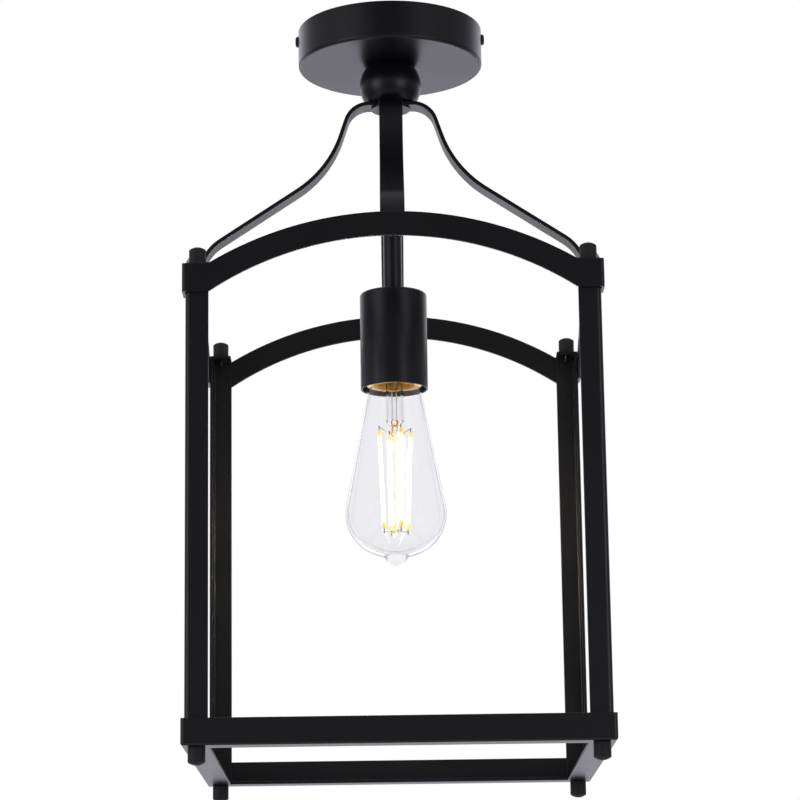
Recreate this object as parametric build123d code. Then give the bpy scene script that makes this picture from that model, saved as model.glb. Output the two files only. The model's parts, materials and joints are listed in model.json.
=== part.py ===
from build123d import *
from math import atan2, cos, degrees, hypot, pi, radians, sin, sqrt, tan
import os

# Semi-flush ceiling light. A canopy, a ball collar and four curved straps carry an open square
# lantern cage, and a stem carries the lampholder with its screw-in bulb.
# Millimetres, +Z up. The origin is the centre of the ceiling face, so the light hangs below z = 0.
# X runs to the right and Y to the back.

# Clearances
hole_clearance = 0.2        # radial, round a screw, wire or tube that passes through a hole
thread_clearance = 0.1      # radial, between a thread and its nut, both plain cylinders here
bracket_clearance = 0.3     # between the bracket's ears and the canopy wall
strap_end_clearance = 0.3   # between neighbouring straps at the hub
bulb_clearance = 0.4        # radial, round the bulb's screw cap
contact_gap = 0.1           # between the lampholder's contact and the bulb's
wire_gap = 0.15             # between the bulb's supports and what they hold
cement_gap = 0.05           # between the bulb's cement and the cap and neck that it joins
terminal_clearance = 1.0    # between the live tongue and the rim of the screw shell

# Broken edges and driver recesses
edge_radius = 0.4           # on the edges of the bars, strips and plates
recess_width = 0.9
recess_span_share = 0.55    # of the screw head's diameter
recess_depth_share = 0.5    # of the screw head's height

# Canopy and ceiling bracket
canopy_diameter = 120.0
canopy_height = 24.5
canopy_wall = 1.2
canopy_edge_radius = 1.8
side_screw_drop = 5.5
side_screw_diameter = 4.0
side_screw_length = 8.0
side_screw_head_diameter = 7.2
side_screw_head_height = 2.0
side_screw_head_radius = 1.5
bracket_width = 20.0
bracket_thickness = 1.6
bracket_ear_height = 11.0
bracket_bend_radius = 1.4
box_slot_spacing = 79.4
box_slot_length = 14.3
box_slot_width = 4.8
ground_screw_offset = 16.0
ground_screw_diameter = 4.0
ground_screw_head_diameter = 7.0
ground_screw_head_height = 2.6
ground_screw_head_radius = 1.3

# Threaded tubes, nuts and washers
nipple_diameter = 10.0
nipple_bore = 7.0
nipple_overlap = 15.0       # length of each nipple inside the stem
nipple_tail = 2.0           # length of the upper nipple above its nut
nut_across_flats = 14.0
nut_height = 4.5
lock_washer_diameter = 18.0
lock_washer_height = 1.0

# Ball, hub and stem
ball_diameter = 40.0
ball_height = 25.0
hub_disc_diameter = 25.5
hub_disc_height = 1.5
stem_diameter = 12.0
stem_length = 124.5

# Straps, along the middle of their thickness
strap_width = 15.0
strap_thickness = 2.5
strap_shoulder = 25.4       # from the lamp's axis to the corner of the bend at the hub
strap_waist = 40.5          # from the lamp's axis to the corner of the long sweep
strap_waist_drop = 45.1     # that corner below the strap at the hub
strap_drop = 110.4          # from the strap's top at the hub to the top of the arches
strap_eave = 9.0            # corner of the lowest bend above the top of the arches
strap_lap = 14.1            # the strap's vertical end below the top of the arches
strap_shoulder_radius = 15.9
strap_waist_radius = 72.0
strap_eave_radius = 28.0

# Cage
cage_width = 254.0
cage_height = 289.6         # from the corners of the top band to the underside of the bottom rails
cage_corner_radius = 2.2
band_thickness = 2.0
band_corner_height = 17.7
arch_rise = 30.9
arch_height = 15.0
arch_fillet = 4.0
post_leg = 14.0
post_thickness = 2.0
post_corner_radius = 3.0
post_root_radius = 1.0
rail_height = 16.0
rail_flange = 16.0
rail_thickness = 2.0
rail_edge_radius = 1.8
corner_plate_height = 2.0
corner_plate_rise = 1.0     # the plates' tops above the corners of the top band

# Finials and feet
finial_diameter = 10.4
finial_height = 10.9
foot_height = 10.9
finial_dome = 1.9           # rise of the domed free end
finial_edge_radius = 0.6
finial_bore_depth = 6.0
finial_stud_diameter = 3.0
finial_stud_tip = 4.0       # the stud's tip below the corner plate
foot_nut_across_flats = 5.5
foot_nut_height = 2.4

# Socket cup and lampholder
cup_diameter = 43.0
cup_height = 63.0
cup_wall = 1.2
cup_top = 1.5
cup_edge_radius = 1.8
lampholder_diameter = 35.0
lampholder_cap_height = 15.0
lampholder_neck_height = 7.0
lampholder_chamber_diameter = 24.0
lampholder_web = 7.0
lampholder_skirt = 32.3
lampholder_screw_spacing = 29.2
lampholder_screw_diameter = 3.0
lampholder_screw_head_diameter = 5.0
lampholder_screw_head_height = 2.0
lampholder_screw_head_radius = 1.0
lampholder_screw_bite = 5.0
shell_wall = 0.6
shell_lip_diameter = 30.8   # of the flat lip at the shell's mouth, let into the lampholder's lower face
shell_lip_height = 0.8
shell_tab_width = 5.0
contact_height = 0.8
contact_width = 5.0
contact_button_diameter = 6.0
contact_button_height = 2.6
contact_button_radius = 0.9

# Leads
lead_diameter = 2.4
lead_offset = 1.9           # from the lamp's axis, inside the stem
lead_terminal_offset = 7.0  # from the lamp's axis, at the contacts
lead_run_drop = 9.0         # the leads' run inside the canopy, below the ceiling
lead_run_length = 32.0
lead_spread_radius = 4.0
lead_turn_radius = 6.0
connector_length = 22.0
connector_mouth_diameter = 11.0
connector_tip_diameter = 6.5
connector_grip = 12.0       # length of lead inside a connector

# Bulb
bulb_diameter = 64.0
bulb_wall = 0.8
bulb_knuckle_radius = 27.0
bulb_crown_radius = 38.0
bulb_cone_angle = 11.0
bulb_length = 145.4         # from the solder contact to the drawn tip
bulb_tip_height = 5.0
bulb_tip_radius = 8.0
bulb_neck_length = 7.0      # of the neck that is inside the cap
bulb_shoulder_drop = 3.2
bulb_shoulder_radius = 2.0
cap_diameter = 26.2
cap_length = 20.0
cap_thread_pitch = 3.629
cap_thread_depth = 0.7
cap_thread_count = 4
cap_wall = 0.4
cement_thickness = 0.8      # of the ring that holds the neck in the cap
insulator_height = 4.5
bulb_contact_diameter = 9.5
bulb_contact_height = 1.5
bulb_contact_radius = 0.7
mount_diameter = 11.2
mount_wall = 1.0
mount_height = 32.4
mount_flare_height = 1.0
mount_press_height = 2.6
mount_press_diameter = 7.0
mount_post_diameter = 2.4
filament_diameter = 2.4
filament_count = 4
filament_start = 3.9        # top of the filaments below the glass mount
filament_drop = 62.9
filament_top_radius = 10.6
filament_low_radius = 8.2
filament_angle = 20.4
filament_twist = 2.0
support_diameter = 0.9
pin_length = 2.6            # of the pins at the filaments' ends
arm_drop = 7.0              # the upper arms' inner ends below the tops of their pins

# Levels, all below the ceiling
canopy_floor = -canopy_height
strap_top = canopy_floor - ball_height
strap_low = strap_top - strap_thickness
hub_low = strap_low - hub_disc_height
arch_top = strap_top - strap_drop
band_high = arch_top - arch_rise
band_low = band_high - band_corner_height
rail_low = band_high - cage_height
rail_high = rail_low + rail_height
plate_high = band_high + corner_plate_rise
plate_low = plate_high - corner_plate_height
flange_high = rail_low + rail_thickness
cup_high = hub_low - stem_length
cup_low = cup_high - cup_height
cup_nut_high = cup_high - cup_top
holder_high = cup_nut_high - nut_height
chamber_high = holder_high - lampholder_neck_height
holder_split = holder_high - lampholder_cap_height
web_low = holder_split - lampholder_web
holder_low = web_low - lampholder_skirt
bulb_high = web_low - contact_height - contact_button_height - contact_gap
insulator_high = bulb_high - bulb_contact_height
cap_high = insulator_high - insulator_height
cap_low = cap_high - cap_length
neck_high = cap_low + bulb_neck_length
flare_high = neck_high - mount_flare_height
mount_low = flare_high - mount_height
press_low = mount_low - mount_press_height
filament_high = press_low - filament_start
filament_low = filament_high - filament_drop
post_end = filament_low - pin_length - support_diameter
bulb_low = bulb_high - bulb_length
crown_low = bulb_low + bulb_tip_height

# Places that follow from the sizes above
cage_half = cage_width / 2
post_outside = cage_half - band_thickness
post_inside = post_outside - post_leg
post_middle = post_outside - post_leg / 2
nipple_hole = nipple_diameter + 2 * hole_clearance
nipple_thread = nipple_diameter + 2 * thread_clearance
stud_thread = finial_stud_diameter + 2 * thread_clearance
lead_hole = lead_diameter + 2 * hole_clearance
canopy_inside = canopy_diameter / 2 - canopy_wall
cap_root = cap_diameter - 2 * cap_thread_depth
cap_bore = cap_root - 2 * cap_wall
neck_diameter = cap_bore - 2 * cement_thickness
neck_bore = neck_diameter - 2 * bulb_wall
shell_bore = cap_diameter + 2 * bulb_clearance
shell_diameter = shell_bore + 2 * shell_wall
lamp_screw_hole = lampholder_screw_diameter + 2 * hole_clearance
lamp_screw_thread = lampholder_screw_diameter + 2 * thread_clearance

sides = {"front": 0, "right": 90, "back": 180, "left": 270}
corners = {"front_left": 0, "front_right": 90, "back_right": 180, "back_left": 270}
nodes = {}


def rod(diameter, low, high):
    """Upright cylinder on the Z axis."""
    return Pos(0, 0, low) * extrude(Circle(diameter / 2), high - low)


def tube(diameter, bore, low, high):
    """Upright tube on the Z axis."""
    return Pos(0, 0, low) * extrude(Circle(diameter / 2) - Circle(bore / 2), high - low)


def hex_nut(across_flats, bore, low, height):
    """Hexagon nut on the Z axis with its corners chamfered by a cone."""
    corner = across_flats / sqrt(3)
    bevel = (corner - across_flats / 2) / 2
    blank = extrude(RegularPolygon(corner, 6), height)
    blank &= chamfer(extrude(Circle(corner), height).edges(), bevel)
    return Pos(0, 0, low) * (blank - extrude(Circle(bore / 2), height))


def upright_section(face):
    """Stand a face drawn as radius and height in the plane of X and Z."""
    return Plane.XZ * face


def cross_recess(head_diameter, low, high):
    """Cross-shaped driver recess between two levels, to be cut from a screw head on the Z axis."""
    span = recess_span_share * head_diameter
    arms = Rectangle(span, recess_width) + Rectangle(recess_width, span)
    return Pos(0, 0, low) * extrude(arms, high - low)


def ceiling_bracket():
    """Slotted crossbar against the ceiling, with an ear turned down at each end for a side screw."""
    reach = sqrt((canopy_inside - bracket_clearance) ** 2 - (bracket_width / 2) ** 2)
    bar = Pos(0, 0, -bracket_thickness / 2) * Box(2 * reach, bracket_width, bracket_thickness)
    for way in (-1, 1):
        ear = Box(bracket_thickness, bracket_width, bracket_ear_height)
        bar += Pos(way * (reach - bracket_thickness / 2), 0, -bracket_ear_height / 2) * ear
    bends = bar.edges().filter_by(Axis.Y).group_by(Axis.Z)[-1]
    bar = fillet(bends, bracket_bend_radius)
    for way in (-1, 1):
        slot = SlotOverall(box_slot_length, box_slot_width)
        bar -= Pos(way * box_slot_spacing / 2, 0, -bracket_thickness) * extrude(slot, bracket_thickness)
    ground_thread = rod(ground_screw_diameter + 2 * thread_clearance, -bracket_thickness, 0)
    bar -= Pos(ground_screw_offset, 0, 0) * ground_thread
    screw_line = Cylinder(side_screw_diameter / 2 + thread_clearance, canopy_diameter)
    return bar - Pos(0, 0, -side_screw_drop) * Rot(0, 90, 0) * screw_line


def ground_screw():
    """Earth screw with a round head under the crossbar."""
    head_low = -bracket_thickness - ground_screw_head_height
    head = rod(ground_screw_head_diameter, head_low, -bracket_thickness)
    head = fillet(head.edges().group_by(Axis.Z)[0], ground_screw_head_radius)
    recess_high = head_low + recess_depth_share * ground_screw_head_height
    head -= cross_recess(ground_screw_head_diameter, head_low, recess_high)
    return Pos(ground_screw_offset, 0, 0) * (head + rod(ground_screw_diameter, -bracket_thickness, 0))


def canopy():
    """Pressed cup, open to the ceiling, with a rounded lower edge."""
    cup = rod(canopy_diameter, canopy_floor, 0)
    cup = fillet(cup.edges().group_by(Axis.Z)[0], canopy_edge_radius)
    hollow = rod(2 * canopy_inside, canopy_floor + canopy_wall, 0)
    inner_radius = max(canopy_edge_radius - canopy_wall, canopy_wall / 4)
    hollow = fillet(hollow.edges().group_by(Axis.Z)[0], inner_radius)
    cup -= hollow
    cup -= rod(nipple_hole, canopy_floor, 0)
    screw_line = Cylinder(side_screw_diameter / 2 + hole_clearance, canopy_diameter + canopy_wall)
    return cup - Pos(0, 0, -side_screw_drop) * Rot(0, 90, 0) * screw_line


def canopy_side_screws():
    """Two round-headed screws that hold the canopy to the bracket's ears."""
    head = rod(side_screw_head_diameter, 0, side_screw_head_height)
    head = fillet(head.edges().group_by(Axis.Z)[-1], side_screw_head_radius)
    recess_low = side_screw_head_height * (1 - recess_depth_share)
    head -= cross_recess(side_screw_head_diameter, recess_low, side_screw_head_height)
    screw = head + rod(side_screw_diameter, -side_screw_length, 0)
    right = Pos(canopy_diameter / 2, 0, -side_screw_drop) * Rot(0, 90, 0) * screw
    return right + Rot(0, 0, 180) * right


def ball_collar():
    """Ball cut flat where it meets the canopy and the straps, bored for the nipple."""
    slab = Box(ball_diameter, ball_diameter, ball_height)
    ball = Pos(0, 0, canopy_floor - ball_height / 2) * (Sphere(ball_diameter / 2) & slab)
    return ball - rod(nipple_hole, strap_top, canopy_floor)


def strap():
    """Front strap: level at the hub, a steep S sweep outward, then upright behind the arch."""
    middle = strap_top - strap_thickness / 2
    wall = post_outside - strap_thickness / 2
    path = FilletPolyline(
        (0, -strap_width / 2 - strap_end_clearance, middle),
        (0, -strap_shoulder, middle),
        (0, -strap_waist, middle - strap_waist_drop),
        (0, -wall, arch_top + strap_eave),
        (0, -wall, arch_top - strap_lap),
        radius=[strap_shoulder_radius, strap_waist_radius, strap_eave_radius],
    )
    start = Plane(origin=path @ 0, x_dir=(1, 0, 0), z_dir=path % 0)
    return sweep(start * RectangleRounded(strap_width, strap_thickness, edge_radius), path=path)


def hub_disc():
    """Round plate under the straps' inner ends, its lower edge broken."""
    disc = rod(hub_disc_diameter, hub_low, strap_low)
    disc = fillet(disc.edges().group_by(Axis.Z)[0], edge_radius)
    return disc - rod(nipple_hole, hub_low, strap_low)


def mitred(bar, low, high):
    """Trim a front bar to the cage's rounded outline and to a 45 degree mitre at each end."""
    wedge = make_face(Polyline((0, 0), (-cage_width, -cage_width), (cage_width, -cage_width), close=True))
    outline = RectangleRounded(cage_width, cage_width, cage_corner_radius)
    return bar & Pos(0, 0, low) * extrude(wedge & outline, high - low)


def top_arch():
    """Front strip of the top band: square ends outside the posts and an arch between them."""
    radius = (post_inside ** 2 + arch_rise ** 2) / (2 * arch_rise)
    centre = arch_top - radius
    lower_reach = sqrt((radius - arch_height) ** 2 - (band_low - centre) ** 2)
    right_end = Polyline(
        (post_inside, band_high), (cage_half, band_high), (cage_half, band_low), (lower_reach, band_low))
    outline = Curve() + [
        right_end,
        ThreePointArc((lower_reach, band_low), (0, arch_top - arch_height), (-lower_reach, band_low)),
        mirror(right_end, Plane.YZ),
        ThreePointArc((-post_inside, band_high), (0, arch_top), (post_inside, band_high)),
    ]
    face = make_face(outline)
    springings = [Vertex(way * post_inside, band_high, 0) for way in (-1, 1)]
    inner_corners = [face.vertices().sort_by_distance(spot)[0] for spot in springings]
    face = fillet(inner_corners, arch_fillet)
    strip = extrude(Plane.XZ.offset(cage_half - band_thickness) * face, band_thickness)
    rims = strip.edges().group_by(Axis.Y)
    strip = fillet(rims[0] + rims[-1], edge_radius)
    return mitred(strip, band_low, arch_top)


def post():
    """Front left angle-iron post, its outer corner rounded, standing on the bottom rails' flange."""
    legs = make_face(Polyline(
        (-post_outside, -post_outside),
        (-post_inside, -post_outside),
        (-post_inside, -post_outside + post_thickness),
        (-post_outside + post_thickness, -post_outside + post_thickness),
        (-post_outside + post_thickness, -post_inside),
        (-post_outside, -post_inside),
        close=True,
    ))
    cage_corner = Vertex(-cage_half, -cage_half, 0)
    leg_ends = legs.vertices().sort_by_distance(cage_corner)[-4:]
    legs = fillet(leg_ends, edge_radius)
    legs = fillet(legs.vertices().sort_by_distance(cage_corner)[0], post_corner_radius)
    root = Vertex(-post_outside + post_thickness, -post_outside + post_thickness, 0)
    legs = fillet(legs.vertices().sort_by_distance(root)[0], post_root_radius)
    return Pos(0, 0, flange_high) * extrude(legs, plate_low - flange_high)


def corner_plate():
    """Plate that closes the front left post's top end and takes the finial's stud."""
    square = Pos(-post_middle, -post_middle) * Rectangle(post_leg, post_leg)
    outer_corner = square.vertices().sort_by_distance(Vertex(-cage_half, -cage_half, 0))[0]
    square = fillet(outer_corner, post_corner_radius)
    plate = Pos(0, 0, plate_low) * extrude(square, corner_plate_height)
    plate = fillet(plate.edges().group_by(Axis.Z)[-1], edge_radius)
    return plate - Pos(-post_middle, -post_middle, 0) * rod(stud_thread, plate_low, plate_high)


def bottom_rail():
    """Front angle-iron rail, flange inward at the bottom, notched at each mitre for a foot's stud."""
    angle = make_face(Polyline(
        (-cage_half, rail_low),
        (-cage_half, rail_high),
        (-cage_half + rail_thickness, rail_high),
        (-cage_half + rail_thickness, flange_high),
        (-cage_half + rail_flange, flange_high),
        (-cage_half + rail_flange, rail_low),
        close=True,
    ))
    outer_edge = Vertex(-cage_half, rail_low, 0)
    leg_ends = angle.vertices().sort_by_distance(outer_edge)[-4:]
    angle = fillet(leg_ends, edge_radius)
    angle = fillet(angle.vertices().sort_by_distance(outer_edge)[0], rail_edge_radius)
    bar = mitred(extrude(Plane.YZ * angle, cage_half, both=True), rail_low, rail_high)
    for way in (-1, 1):
        bar -= Pos(way * post_middle, -post_middle, 0) * rod(stud_thread, rail_low, flange_high)
    return bar


def end_cap(height):
    """Small cap that stands on z = 0, domed at its free end, with a blind bore for its stud."""
    radius = finial_diameter / 2
    side_high = height - finial_dome
    crown = (radius ** 2 + finial_dome ** 2) / (2 * finial_dome)
    crown_centre = height - crown
    rim_angle = degrees(atan2(side_high - crown_centre, radius))
    face = make_face(Curve() + [
        Polyline((0, height), (0, 0), (radius, 0), (radius, side_high)),
        CenterArc((0, crown_centre), crown, rim_angle, 90 - rim_angle),
    ])
    face = fillet(face.vertices().sort_by_distance(Vertex(radius, side_high, 0))[0], finial_edge_radius)
    face = chamfer(face.vertices().sort_by_distance(Vertex(radius, 0, 0))[0], edge_radius)
    return revolve(upright_section(face), Axis.Z) - rod(stud_thread, 0, finial_bore_depth)


def stud(low, high):
    """Thin screw on the front left post's middle line."""
    return Pos(-post_middle, -post_middle, 0) * rod(finial_stud_diameter, low, high)


def at_corners(piece):
    """One copy of a front left piece at each of the four corners, as separate solids."""
    turned = [Rot(0, 0, angle) * piece for angle in corners.values()]
    return Part() + turned


def socket_cup():
    """Plain cup with its mouth down and a rounded upper edge."""
    shell = rod(cup_diameter, cup_low, cup_high)
    shell = fillet(shell.edges().group_by(Axis.Z)[-1], cup_edge_radius)
    shell -= rod(cup_diameter - 2 * cup_wall, cup_low, cup_high - cup_top)
    shell = fillet(shell.edges().group_by(Axis.Z)[0], edge_radius)
    return shell - rod(nipple_hole, cup_high - cup_top, cup_high)


def lampholder_cap():
    """Upper half of the lampholder: a threaded neck over a chamber where the leads spread."""
    block = rod(lampholder_diameter, holder_split, holder_high)
    block -= rod(nipple_thread, chamber_high, holder_high)
    block -= rod(lampholder_chamber_diameter, holder_split, chamber_high)
    return block - lampholder_screw_places(rod(lamp_screw_hole, holder_split, holder_high))


def lampholder_screw_places(piece):
    """A pair of copies where the screws hold the lampholder's halves together."""
    shift = lampholder_screw_spacing / 2
    return (Pos(0, -shift, 0) * piece) + (Pos(0, shift, 0) * piece)


def lampholder_body():
    """Lower half of the lampholder: a web with the leads' holes over the skirt round the screw shell."""
    block = rod(lampholder_diameter, holder_low, holder_split)
    block -= rod(shell_diameter + 2 * thread_clearance, holder_low, web_low)
    lip_high = holder_low + shell_lip_height + thread_clearance
    block -= rod(shell_lip_diameter + 2 * thread_clearance, holder_low, lip_high)
    for way in (-1, 1):
        block -= Pos(way * lead_terminal_offset, 0, 0) * rod(lead_hole, web_low, holder_split)
    bite = rod(lamp_screw_thread, holder_split - lampholder_screw_bite, holder_split)
    return block - lampholder_screw_places(bite)


def lampholder_screws():
    """Two screws through the lampholder's cap into its body."""
    head_high = holder_high + lampholder_screw_head_height
    head = rod(lampholder_screw_head_diameter, holder_high, head_high)
    head = fillet(head.edges().group_by(Axis.Z)[-1], lampholder_screw_head_radius)
    recess_low = head_high - recess_depth_share * lampholder_screw_head_height
    head -= cross_recess(lampholder_screw_head_diameter, recess_low, head_high)
    shank = rod(lampholder_screw_diameter, holder_split - lampholder_screw_bite, holder_high)
    return lampholder_screw_places(head + shank)


def screw_shell():
    """Brass sleeve round the bulb's cap, with a lip, a rim and a tab under the neutral lead."""
    tongue_reach = hypot(lead_terminal_offset + lead_diameter / 2, contact_width / 2)
    rim_bore = 2 * (tongue_reach + terminal_clearance)
    sleeve = tube(shell_diameter, shell_bore, holder_low, web_low)
    sleeve += tube(shell_lip_diameter, shell_bore, holder_low, holder_low + shell_lip_height)
    sleeve += tube(shell_diameter, rim_bore, web_low - contact_height, web_low)
    tab_end = lead_terminal_offset - lead_diameter / 2
    tab_length = shell_bore / 2 - tab_end
    tab = Box(tab_length, shell_tab_width, contact_height)
    return sleeve + Pos(tab_end + tab_length / 2, 0, web_low - contact_height / 2) * tab


def centre_contact():
    """Brass tongue under the live lead, with the button that meets the bulb."""
    far_end = lead_terminal_offset + lead_diameter / 2
    near_end = contact_button_diameter / 2
    tongue = Box(far_end + near_end, contact_width, contact_height)
    tongue = Pos((near_end - far_end) / 2, 0, web_low - contact_height / 2) * tongue
    button_low = web_low - contact_height - contact_button_height
    button = rod(contact_button_diameter, button_low, web_low - contact_height)
    return tongue + fillet(button.edges().group_by(Axis.Z)[0], contact_button_radius)


def lead_path(way):
    """Route of one lead: up from its terminal, through stem and nipples, and level inside the canopy."""
    spread_low = holder_split + lead_spread_radius / 2
    spread_high = spread_low + lead_terminal_offset - lead_offset
    return FilletPolyline(
        (way * lead_terminal_offset, 0, web_low),
        (way * lead_terminal_offset, 0, spread_low),
        (way * lead_offset, 0, spread_high),
        (way * lead_offset, 0, -lead_run_drop),
        (way * lead_offset, -way * lead_run_length, -lead_run_drop),
        radius=[lead_spread_radius, lead_spread_radius, lead_turn_radius],
    )


def lead(path):
    """Round wire along a lead's route."""
    return sweep(Plane(origin=path @ 0, z_dir=path % 0) * Circle(lead_diameter / 2), path=path)


def wire_connector(path):
    """Tapered twist-on connector over the end of a lead inside the canopy."""
    mouth = connector_mouth_diameter / 2
    tip = connector_tip_diameter / 2
    bore = lead_hole / 2
    half = make_face(Polyline(
        (bore, 0),
        (mouth, 0),
        (tip, connector_length),
        (0, connector_length),
        (0, connector_grip),
        (bore, connector_grip),
        close=True,
    ))
    cone = revolve(upright_section(half), Axis.Z)
    seat = path @ 1 - (path % 1) * connector_grip
    return Plane(origin=seat, z_dir=path % 1) * cone


def envelope(inset):
    """Solid of the bulb's glass, drawn in by inset all over; a cone, a rounded knuckle and a crown."""
    offset_radius = bulb_diameter / 2 - bulb_knuckle_radius
    rise = sqrt((bulb_crown_radius - bulb_knuckle_radius) ** 2 - offset_radius ** 2)
    crown_centre = crown_low + bulb_crown_radius
    knuckle_centre = crown_centre - rise
    meeting = degrees(atan2(-rise, offset_radius))
    knuckle = bulb_knuckle_radius - inset
    crown = bulb_crown_radius - inset
    slope = radians(bulb_cone_angle)
    cone_start = (offset_radius + knuckle * cos(slope), knuckle_centre + knuckle * sin(slope))
    neck = neck_diameter / 2 - inset
    neck_low = cap_low - bulb_shoulder_radius
    shoulder_low = neck_low - bulb_shoulder_drop
    shoulder = cone_start[0] - (shoulder_low - cone_start[1]) * tan(slope)
    outline = Curve() + [
        CenterArc((0, crown_centre), crown, -90, meeting + 90),
        CenterArc((offset_radius, knuckle_centre), knuckle, meeting, bulb_cone_angle - meeting),
        FilletPolyline(cone_start, (shoulder, shoulder_low), (neck, neck_low), (neck, neck_high),
                       radius=bulb_shoulder_radius),
        Polyline((neck, neck_high), (0, neck_high), (0, crown_centre - crown)),
    ]
    return revolve(upright_section(make_face(outline)), Axis.Z)


def bulb_glass():
    """Clear pear-shaped envelope with the solid drawn tip at its lower end."""
    tip = Pos(0, 0, bulb_low + bulb_tip_radius) * Sphere(bulb_tip_radius)
    return envelope(0) + tip - envelope(bulb_wall)


def bulb_cap():
    """Screw cap: a thin shell with a rolled thread, drawn as rings, and a plain skirt."""
    crest = cap_diameter / 2
    root = cap_root / 2
    middle = (crest + root) / 2
    bore = cap_bore / 2
    quarter = cap_thread_pitch / 4
    thread_low = cap_high - cap_thread_count * cap_thread_pitch
    edges = [Polyline((middle, cap_high), (bore, cap_high), (bore, cap_low), (crest, cap_low),
                      (crest, thread_low - quarter), (middle, thread_low))]
    for turn in range(cap_thread_count):
        start = cap_high - turn * cap_thread_pitch
        half_way = start - 2 * quarter
        edges.append(ThreePointArc((middle, start), (crest, start - quarter), (middle, half_way)))
        edges.append(ThreePointArc((middle, half_way), (root, half_way - quarter),
                                   (middle, start - cap_thread_pitch)))
    return revolve(upright_section(make_face(Curve() + edges)), Axis.Z)


def bulb_insulator():
    """Dark glass cone between the cap and the solder contact."""
    wide = cap_root / 2
    narrow = bulb_contact_diameter / 2
    half = make_face(Polyline(
        (0, cap_high), (wide, cap_high), (narrow, insulator_high), (0, insulator_high), close=True))
    return revolve(upright_section(half), Axis.Z)


def bulb_contact():
    """Solder contact at the top of the bulb, domed at its edge."""
    button = rod(bulb_contact_diameter, insulator_high, bulb_high)
    return fillet(button.edges().group_by(Axis.Z)[-1], bulb_contact_radius)


def bulb_stem():
    """Glass mount: a flare that closes the neck, a tube, its press, and a post between the filaments."""
    bore = mount_diameter - 2 * mount_wall
    mount = tube(neck_bore - 2 * thread_clearance, bore, flare_high, neck_high)
    mount += tube(mount_diameter, bore, mount_low, flare_high)
    press = make_face(Polyline((0, press_low), (mount_press_diameter / 2, press_low),
                               (mount_diameter / 2, mount_low), (0, mount_low), close=True))
    mount += revolve(upright_section(press), Axis.Z)
    return mount + rod(mount_post_diameter, post_end, press_low)


def filament_ends():
    """Upper and lower end of each filament strip."""
    ends = []
    for index in range(filament_count):
        angle = radians(filament_angle + index * 360 / filament_count)
        turned = angle + radians(filament_twist)
        upper = Vector(filament_top_radius * cos(angle), filament_top_radius * sin(angle), filament_high)
        lower = Vector(filament_low_radius * cos(turned), filament_low_radius * sin(turned), filament_low)
        ends.append((upper, lower))
    return ends


def bar_between(start, end, diameter):
    """Round bar from one point to another."""
    way = end - start
    return Plane(origin=start, z_dir=way) * extrude(Circle(diameter / 2), way.length)


def bulb_filaments():
    """Straight filament strips, spread round the bulb's axis."""
    return Part() + [bar_between(upper, lower, filament_diameter) for upper, lower in filament_ends()]


def support(end, away, drop):
    """Wire pin at one end of a filament, with an arm from the pin's far end to the glass post."""
    near = end + away * wire_gap
    far = end + away * pin_length
    outward = Vector(far.X, far.Y, 0).normalized()
    post_reach = (mount_post_diameter + support_diameter) / 2 + wire_gap
    foot = outward * post_reach + Vector(0, 0, far.Z - drop)
    wire = bar_between(near, far, support_diameter) + bar_between(foot, far, support_diameter)
    return wire + Pos(far.X, far.Y, far.Z) * Sphere(support_diameter / 2)


def bulb_wires():
    """Supports at both ends of every filament."""
    wires = []
    for upper, lower in filament_ends():
        along = (upper - lower).normalized()
        wires.append(support(upper, along, arm_drop))
        wires.append(support(lower, -along, 0))
    return Part() + wires


# At the ceiling
nodes["ceiling_bracket"] = ceiling_bracket()
nodes["ground_screw"] = ground_screw()
nodes["canopy"] = canopy()
nodes["canopy_side_screws"] = canopy_side_screws()
washer_low = canopy_floor + canopy_wall
washer_high = washer_low + lock_washer_height
nodes["canopy_lock_washer"] = tube(lock_washer_diameter, nipple_hole, washer_low, washer_high)
nodes["canopy_lock_nut"] = hex_nut(nut_across_flats, nipple_thread, washer_high, nut_height)
nipple_high = washer_high + nut_height + nipple_tail
nodes["upper_nipple"] = tube(nipple_diameter, nipple_bore, hub_low - nipple_overlap, nipple_high)

# Hanger
nodes["ball_collar"] = ball_collar()
for side, angle in sides.items():
    nodes[f"strap_{side}"] = Rot(0, 0, angle) * strap()
nodes["hub_disc"] = hub_disc()
nodes["stem_tube"] = tube(stem_diameter, nipple_thread, cup_high, hub_low)
nodes["lower_nipple"] = tube(nipple_diameter, nipple_bore, chamber_high, cup_high + nipple_overlap)

# Cage
for side, angle in sides.items():
    nodes[f"top_arch_{side}"] = Rot(0, 0, angle) * top_arch()
    nodes[f"bottom_rail_{side}"] = Rot(0, 0, angle) * bottom_rail()
for corner, angle in corners.items():
    nodes[f"post_{corner}"] = Rot(0, 0, angle) * post()
    finial_seat = Rot(0, 0, angle) * Pos(-post_middle, -post_middle, plate_high)
    nodes[f"finial_{corner}"] = finial_seat * end_cap(finial_height)
    foot_seat = Rot(0, 0, angle) * Pos(-post_middle, -post_middle, rail_low)
    nodes[f"foot_{corner}"] = foot_seat * Rot(180, 0, 0) * end_cap(foot_height)
nodes["corner_plates"] = at_corners(corner_plate())
stud_reach = finial_bore_depth - thread_clearance
nodes["finial_studs"] = at_corners(stud(plate_low - finial_stud_tip, plate_high + stud_reach))
foot_nut_top = flange_high + foot_nut_height
nodes["foot_studs"] = at_corners(stud(rail_low - stud_reach, foot_nut_top))
foot_nut = hex_nut(foot_nut_across_flats, stud_thread, flange_high, foot_nut_height)
nodes["foot_nuts"] = at_corners(Pos(-post_middle, -post_middle, 0) * foot_nut)

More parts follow.
